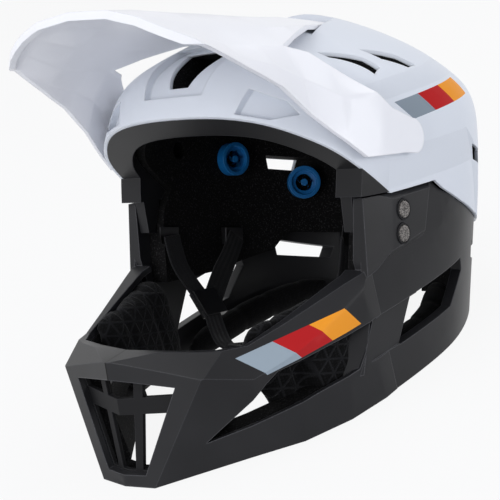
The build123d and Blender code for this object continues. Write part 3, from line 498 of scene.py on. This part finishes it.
# Worn millimetres fore and aft of the ear line.
crown_seam_reaches = (-42, 0, 42)
crown_seams = [(worn_place(0, reach, 0), worn_direction(1, 0), seam_half_width, seam_depth)
               for reach in crown_seam_reaches]
for name, seams in (("brow_pad", brow_seams), ("crown_pad", crown_seams), ("side_pads", crown_seams)):
    stuffed(name, "crown", pad_knit, voxel=0.0025, slimmer=0.0006, cap=0.003, seams=seams)

# The damping pads
# Four soft blue rings pressed into seats in the foam, each with a hub on curved vanes that
# shear when the head turns against the helmet.

# Moulded soft elastomer: a deep blue with a waxy gloss and a painted pale highlight along its edges.
soft_blue = new_material("Soft elastomer, blue", "0f5f9f", 0.45, 0.3)
moulded(soft_blue, "2f90d0", grain_size=0.0015, grain_depth=0.00008, edge_radius=0.0008)
# The ring's half section: reach from its axis and height over its foot.
ring_section = ((0.0120, 0), (0.0120, 0.0080), (0.0062, 0.0080), (0.0062, 0.0030), (0.0090, 0.0024),
                (0.0094, 0))
ring_seat_depth = 0.003
hub_foot_radius = 0.0026
hub_top_radius = 0.0020
hub_height = 0.0044
vane_count = 5
vane_start = 0.0021
vane_reach = 0.0043
vane_half_height = 0.0016
vane_thickness = 0.0009
vane_sweep = 0.9
# Places on one side in worn millimetres, and the half sizes of the egg that the foam follows there.
ring_places = ((78, 15, 26), (55, 64, 10))
shell_half_width = 111
shell_rear_reach = 127

wheel = bmesh.new()
profile = bmesh.ops.create_circle(wheel, segments=len(ring_section), radius=1)["verts"]
for vertex, (reach, height) in zip(profile, ring_section):
    vertex.co = Vector((reach, 0, height - ring_seat_depth))
bmesh.ops.spin(wheel, geom=wheel.verts[:] + wheel.edges[:], axis=(0, 0, 1), cent=(0, 0, 0), angle=math.tau,
               steps=48, use_merge=True)
bmesh.ops.create_cone(wheel, cap_ends=True, segments=24, radius1=hub_foot_radius, radius2=hub_top_radius,
                      depth=hub_height)
for step in range(vane_count):
    vane = bmesh.ops.create_grid(wheel, x_segments=6, y_segments=1, size=1)["verts"]
    for vertex in vane:
        share = (vertex.co.x + 1) / 2
        bend = vane_sweep * share + math.tau * step / vane_count
        reach = vane_start + vane_reach * share
        vertex.co = Vector((reach * math.cos(bend), reach * math.sin(bend), vane_half_height * vertex.co.y))
    vane_faces = list({face for vertex in vane for face in vertex.link_faces})
    bmesh.ops.solidify(wheel, geom=vane_faces, thickness=vane_thickness)
bmesh.ops.recalc_face_normals(wheel, faces=wheel.faces)
wheel_parts = wheel.verts[:] + wheel.edges[:] + wheel.faces[:]
lift = Matrix.Translation((0, 0, ring_seat_depth))
for side in (-1, 1):
    for x, y, z in ring_places:
        outward = Vector((side * x / shell_half_width ** 2, 0, 0))
        outward += worn_direction(y / shell_rear_reach ** 2, 0)
        turn = outward.to_track_quat("Z", "Y").to_matrix().to_4x4()
        seat = Matrix.Translation(worn_place(side * x, y, z)) @ turn
        copy = bmesh.ops.duplicate(wheel, geom=wheel_parts)["geom"]
        bmesh.ops.transform(wheel, matrix=seat @ lift,
                            verts=[part for part in copy if isinstance(part, bmesh.types.BMVert)])
bmesh.ops.delete(wheel, geom=[part for part in wheel_parts if isinstance(part, bmesh.types.BMVert)])


def finish_piece(name, work, material, body, sharp_angle=35):
    """Turns a bmesh into a piece that rides on a body, smooth between its sharp edges."""
    for face in work.faces:
        face.smooth = True
    for edge in work.edges:
        edge.smooth = len(edge.link_faces) == 2 and edge.calc_face_angle(0) < math.radians(sharp_angle)
    mesh = bpy.data.meshes.new(name)
    work.to_mesh(mesh)
    work.free()
    mesh.materials.append(material)
    piece = bpy.data.objects.new(name, mesh)
    bpy.context.collection.objects.link(piece)
    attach(piece, body)
    return piece


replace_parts(finish_piece("turbine_rings", wheel, soft_blue, "crown"), "turbine_pads")

# The visor's bushings and the latch rails
# Moulded acetal bushings, pressed into the shell for the visor's studs, and stamped, blackened
# steel tongues screwed to the crown, which the chin bar's latches hold.

# Acetal is hard and a little greasy to the eye: small, clear highlights on dark grey black, and a painted
# grey highlight on its edges.
acetal = new_material("Acetal, black", "151516", 0.35, 0.4)
moulded(acetal, "47474a", grain_size=0.0009, grain_depth=0.00002, edge_radius=0.0004)
# Brushing along the tongue, drawn coarser than the real marks, streaks the gloss of the dark metal.
brush_width = 0.00033
brush_length = 0.0167
dark_steel = new_material("Blackened steel, brushed", "4c4c4f", 0.38, metallic=1.0)
steel_tree = dark_steel.node_tree
steel_place = add_node(steel_tree, "TexCoord").outputs["Object"]
long_marks = add_node(steel_tree, "Mapping", {"Vector": steel_place,
                                              "Scale": (1 / brush_width, 1 / brush_width, 1 / brush_length)})
brushing = add_node(steel_tree, "TexNoise", {"Vector": long_marks.outputs[0], "Scale": 1.0,
                                             "Detail": 2.0}).outputs["Fac"]
gloss = add_node(steel_tree, "MapRange", {"Value": brushing, "To Min": 0.3, "To Max": 0.5}).outputs[0]
steel_tree.links.new(gloss, steel_tree.nodes["Principled BSDF"].inputs["Roughness"])
lay_over(dark_steel, brushing, depth=0.00001, strength=0.5)
steel_edge = 0.0004
own_form("pivot_bushings", "crown", acetal)
own_form("latch_rails", "crown", dark_steel, rounding=steel_edge)

# The straps
# Woven polyester webbing, 15 mm wide. Two legs leave anchors in the foam on each side, meet at
# a slider below the ear, and one strap goes on under the chin to the buckle.
strap_half_width = 0.0074
strap_thickness = 0.0016
strap_edge = 0.0004
strap_curl = 0.0005
# Ribs 1.2 mm apart in a chevron, coarser than the real thread so that they show.
rib_pitch = 0.0012
chevron_width = 0.0019
rib_depth = 0.0003
webbing = new_material("Polyester webbing, black", "08080a", 0.75, 0.15, sheen=0.08)
weave_tree = webbing.node_tree
weave_place = add_node(weave_tree, "UVMap").outputs["UV"]
weave_split = add_node(weave_tree, "SeparateXYZ", {"Vector": weave_place}).outputs
chevron = add_node(weave_tree, "Math", {0: weave_split["X"], 1: chevron_width},
                   operation="PINGPONG").outputs[0]
slanted = add_node(weave_tree, "Math", {0: weave_split["Y"], 1: chevron}, operation="ADD").outputs[0]
rib = add_node(weave_tree, "Math", {0: slanted, 1: rib_pitch / 2}, operation="PINGPONG").outputs[0]
rib_share = add_node(weave_tree, "MapRange", {"Value": rib, "From Max": rib_pitch / 2}).outputs[0]
lay_over(webbing, rib_share, colour="1f1f22", depth=rib_depth, strength=0.8)
own_form("strap_anchors", "crown", dark_steel, rounding=steel_edge)
# Each leg as shares of the shell's half width, its reach to the brow and its rise, from the ear line.
brow_reach = 128
crown_rise = 119
strap_leg_shares = (
    ((0.706, -0.39, -0.25), (0.685, -0.375, -0.38), (0.63, -0.34, -0.5), (0.54, -0.27, -0.64)),
    ((0.706, 0.12, -0.25), (0.69, 0.05, -0.37), (0.63, -0.09, -0.5), (0.54, -0.23, -0.64)),
    ((0.54, -0.25, -0.64), (0.42, -0.3, -0.78), (0.29, -0.34, -0.885), (0.2, -0.34, -0.885)))


def smooth_line(points, radius=0, radius_shares=None):
    """The mesh of a smooth line from the first point to the last, or of a round bolster along it."""
    curve = bpy.data.curves.new("line", "CURVE")
    curve.dimensions = "3D"
    curve.bevel_depth = radius
    curve.bevel_resolution = 5
    curve.use_fill_caps = radius > 0
    spline = curve.splines.new("NURBS")
    spline.points.add(len(points) - 1)
    for target, point, share in zip(spline.points, points, radius_shares or [1] * len(points)):
        target.co = (*point, 1)
        target.radius = share
    spline.order_u = 3
    spline.use_endpoint_u = True
    spline.resolution_u = 8
    line = bpy.data.objects.new("line", curve)
    mesh = bpy.data.meshes.new_from_object(line)
    bpy.data.objects.remove(line)
    return mesh


def strap_leg(strap, texture_place, side, leg_shares):
    """Lays one strip of webbing along a leg, with its flat side to the face, and its weave as UVs."""
    points = [worn_place(side * x * shell_half_width, y * brow_reach, z * crown_rise)
              for x, y, z in leg_shares]
    route = [vertex.co.copy() for vertex in smooth_line(points).vertices]
    rows = len(route) - 1
    length = sum((b - a).length for a, b in zip(route, route[1:]))
    strip = bmesh.ops.create_grid(strap, x_segments=6, y_segments=rows, size=1, calc_uvs=False)["verts"]
    weave_at = {}
    for vertex in strip:
        row = round((vertex.co.y + 1) / 2 * rows)
        across_share = vertex.co.x
        along = (route[min(row + 1, rows)] - route[max(row - 1, 0)]).normalized()
        across = worn_direction(1, 0)
        across = (across - along * across.dot(along)).normalized()
        # The edges of the webbing curl a little towards the face.
        curl = Vector((-side, 0, 0)) * strap_curl * across_share ** 2
        vertex.co = route[row] + across * strap_half_width * across_share + curl
        weave_at[vertex] = (strap_half_width * across_share, length * row / rows)
    for vertex in strip:
        for loop in vertex.link_loops:
            loop[texture_place].uv = weave_at[vertex]


for side, name in ((1, "left_strap"), (-1, "right_strap")):
    strap = bmesh.new()
    texture_place = strap.loops.layers.uv.new("UVMap")
    for leg_shares in strap_leg_shares:
        strap_leg(strap, texture_place, side, leg_shares)
    piece = finish_piece(name + "_webbing", strap, webbing, "crown", sharp_angle=60)
    thick = piece.modifiers.new("Thickness", "SOLIDIFY")
    thick.thickness = strap_thickness
    thick.offset = 0
    hem = piece.modifiers.new("Woven edge", "BEVEL")
    hem.width = strap_edge
    hem.segments = 2
    hem.limit_method = "ANGLE"
    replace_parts(piece, name)

# The dividers and the buckle
# Sliders that the strap's legs pass through, and a side release buckle under the chin. Both are
# moulded in the bushings' black acetal, and four small ribs on each half give the fingers a hold.
grip_count = 4
grip_radius = 0.0006
grip_length = 0.011
# Worn millimetres: the first rib's distance from the middle, their pitch, and the drop to the face
# that they stand on from the end of the chin strap.
grip_start = 6.5
grip_pitch = 2
buckle_face_drop = 4.1
chin_strap_share = strap_leg_shares[-1][-1]
own_form("strap_dividers", "crown", acetal, rounding=0.0006)
own_form("buckle_socket", "crown", acetal, rounding=0.0012)
own_form("buckle_plug", "crown", acetal, rounding=0.0012)
grips = bmesh.new()
across_buckle = Matrix.Rotation(math.radians(90) - lean, 3, "X")
for side in (-1, 1):
    for step in range(grip_count):
        grip = bmesh.ops.create_cone(grips, cap_ends=True, segments=10, radius1=grip_radius,
                                     radius2=grip_radius, depth=grip_length)["verts"]
        bmesh.ops.rotate(grips, verts=grip, matrix=across_buckle)
        place = worn_place(side * (grip_start + grip_pitch * step), chin_strap_share[1] * brow_reach,
                           chin_strap_share[2] * crown_rise - buckle_face_drop)
        bmesh.ops.translate(grips, verts=grip, vec=place)
finish_piece("buckle_grip_ribs", grips, acetal, "crown", sharp_angle=50)

# The visor
# One polycarbonate blade in the shell's paint, tucked in front of the crown, with an arm to a
# stud on each side that it tips on.

# The same satin paint, given a whiter colour than the shell's as painted light: the shell behind lies in
# shade, and the blade stands out from it. Its edges get a painted highlight.
visor_white = new_material("Satin white paint on the visor", "f3f3f7", 0.35, 0.4, coat=0.15)
moulded(visor_white, "fbfbfd", shell_grain_size, shell_grain_depth, edge_radius=0.0010)
own_form("visor", "visor", visor_white)
own_form("pivot_studs", "visor", dark_steel)

# The fit system
# A dial behind the head turns on an acetal yoke that is clipped into the foam. Its pinion draws
# two toothed bands past each other, and so tightens them round the head.

# A soft touch skin on the dial: dark grey, without a clear highlight, but with a painted lighter grey
# highlight on its edges.
dial_grip = new_material("Soft touch plastic, dark grey", "2a2a2d", 0.6, 0.3)
moulded(dial_grip, "55555a", grain_size=0.0006, grain_depth=0.00008, edge_radius=0.0005)
own_form("dial_yoke", "crown", acetal, rounding=0.0010)
own_form("fit_dial", "fit_dial", dial_grip)
own_form("drive_pinion", "fit_dial", acetal)
own_form("left_band", "left_band", acetal)
own_form("right_band", "right_band", acetal)

# The chin bar
# The removable lower half: one moulding in glass filled nylon with a window and a strut on each
# side, an arm to the rear, and a plate for two buttons. The stripes are printed above the windows.
chin_colour = "18181a"
# The bar's edges get a painted highlight in this grey, which also tints the faint clouds.
chin_cloud_and_edge_highlight_colour = "68686c"
chin_print_colours = ("98a5b0", "b5191d", "f49d2a")
chin_grain_size = 0.0008
chin_grain_depth = 0.00004
chin_edge_radius = 0.0011
# The parting groove of the two half moulds runs down the middle of the top rim.
groove_half_width = 0.0005
groove_low = 0.060
groove_high = 0.100
# Satin from the mould: the flat planes stay even and the bevels between them show as lighter lines, partly
# from their rounding and partly from a painted highlight.
chin_black = new_material("Glass filled nylon, satin black, fine grain", chin_colour, 0.4, 0.18)
striped_black = new_material("Printed glass filled nylon", chin_colour, 0.4, 0.18)
for material in (chin_black, striped_black):
    moulded(material, chin_cloud_and_edge_highlight_colour, chin_grain_size, chin_grain_depth, chin_edge_radius)
# The stripes' limits are metres along these two directions.
bar_slant = Vector((0, 1, 0.643))
bar_rise = Vector((0, -0.038, 1))
print_stripes(striped_black, chin_print_colours, along=bar_slant,
              starts=[ear_line.y + start for start in (-0.1269, -0.1044, -0.0818, -0.0593)],
              across=bar_rise, low=0.0546, high=0.0689)
for material in (chin_black, striped_black):
    chin_tree = material.node_tree
    middle_line = band(chin_tree, (1, 0, 0), -groove_half_width, groove_half_width)
    on_rim = band(chin_tree, (0, 0, 1), groove_low, groove_high)
    groove = add_node(chin_tree, "Math", {0: middle_line, 1: on_rim}, operation="MULTIPLY").outputs[0]
    lay_over(material, groove, colour="060607")
own_form("chin_bar_shell", "chin_bar", chin_black, outside=striped_black)

# The chin bar's foam and the mouth insert
# A layer of the crown's foam is glued behind the front wall. The insert is matt nylon, a frame
# with two struts and a cross bar, clipped into the mouth opening.
own_form("chin_liner", "chin_bar", bead_foam)
own_form("mouth_insert", "chin_bar", matt_black)

# The cheek pads
# Thick cushions on the chin bar, held by snaps. Their knit is backed by an open lattice fabric
# that lets air through, and that shows through the front windows as a net of fine raised lines.
lattice_pitch = 0.0085
lattice_line = 0.0009
lattice_core = 0.0003
lattice_depth = 0.0006
lattice_knit = knit_fabric("Open lattice knit, black", "070708", "141416", stitch_size=0.0018, depth=0.0005)
lattice_tree = lattice_knit.node_tree
lattice = 0.0
for angle in (8, 68, 128):
    turn = math.radians(angle)
    line_way = distance_along(lattice_tree, (0, math.cos(turn), math.sin(turn)))
    off_line = add_node(lattice_tree, "Math", {0: line_way, 1: lattice_pitch / 2},
                        operation="PINGPONG").outputs[0]
    line = add_node(lattice_tree, "MapRange", {"Value": off_line, "From Min": lattice_line,
                                               "From Max": lattice_core}).outputs[0]
    lattice = add_node(lattice_tree, "Math", {0: lattice, 1: line}, operation="MAXIMUM").outputs[0]
lay_over(lattice_knit, lattice, colour="1c1c1e", depth=lattice_depth, strength=0.6)
cheek_angle = math.radians(13)
cheek_seam_half_width = 0.004
cheek_seam_depth = 0.0014
for side, name in ((1, "left_cheek_pad"), (-1, "right_cheek_pad")):
    low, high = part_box(name)
    middle = (Vector(low) + Vector(high)) / 2
    aft = Vector((-side * math.sin(cheek_angle), math.cos(cheek_angle), 0))
    seams = [(middle + aft * offset, aft, cheek_seam_half_width, cheek_seam_depth)
             for offset in (-0.012, 0.016)]
    stuffed(name, "chin_bar", lattice_knit, voxel=0.004, slimmer=0.0010, cap=0.0035, seams=seams)

# The arm pads
# A knit bolster along the inside of each arm, sewn across every 25 mm, that closes the gap
# between the arm and the neck.
bolster_radius = 0.0098
bolster_height = 0.0115
bolster_seam_pitch = 0.025
bolster_seam_depth = 0.0010
# One side's route in millimetres, out from the middle and back along the helmet, and how full it is.
bolster_route = ((80, -27), (80.5, -15), (81, 5), (80.5, 27), (76, 47), (68, 64), (58, 82), (50, 92))
bolster_radius_shares = (0.35, 0.9, 1, 1, 1, 1, 0.9, 0.35)
for side, name in ((1, "left_arm_pad"), (-1, "right_arm_pad")):
    points = [(side * x / 1000, y / 1000, bolster_height) for x, y in bolster_route]
    bolster = bmesh.new()
    bolster.from_mesh(smooth_line(points, bolster_radius, bolster_radius_shares))
    bmesh.ops.remove_doubles(bolster, verts=bolster.verts, dist=merge_distance)
    bmesh.ops.recalc_face_normals(bolster, faces=bolster.faces)
    for vertex in bolster.verts:
        seam = max(math.cos(math.tau * vertex.co.y / bolster_seam_pitch), 0) ** 6
        vertex.co -= vertex.normal * bolster_seam_depth * seam
    finish_piece(name, bolster, pad_knit, "chin_bar", sharp_angle=70)

# The release buttons
# Round buttons with a gritty face in dark grey, moulded in nylon, in black rings on each plate.
# Both buttons of a side are pressed together to let the crown lift off.
grit_size = 0.00091
grit_depth = 0.0003
# Sharp moulded grit: light grains on a dark ground, which sparkle as the button turns.
gritty_grey = new_material("Textured nylon, dark grey", "97918c", 0.55, 0.4)
grit_tree = gritty_grey.node_tree
grit_place = add_node(grit_tree, "TexCoord").outputs["Object"]
grit = add_node(grit_tree, "TexVoronoi", {"Vector": grit_place, "Scale": 1 / grit_size}).outputs["Distance"]
grit_share = add_node(grit_tree, "MapRange", {"Value": grit, "From Min": 0.2, "From Max": 0.7}).outputs[0]
lay_over(gritty_grey, grit_share, colour="35322f")
lay_over(gritty_grey, grit, depth=grit_depth, strength=0.8)
own_form("button_bezels", "chin_bar", matt_black)
for name in ("left_upper_button", "left_lower_button", "right_upper_button", "right_lower_button"):
    own_form(name, name, gritty_grey)
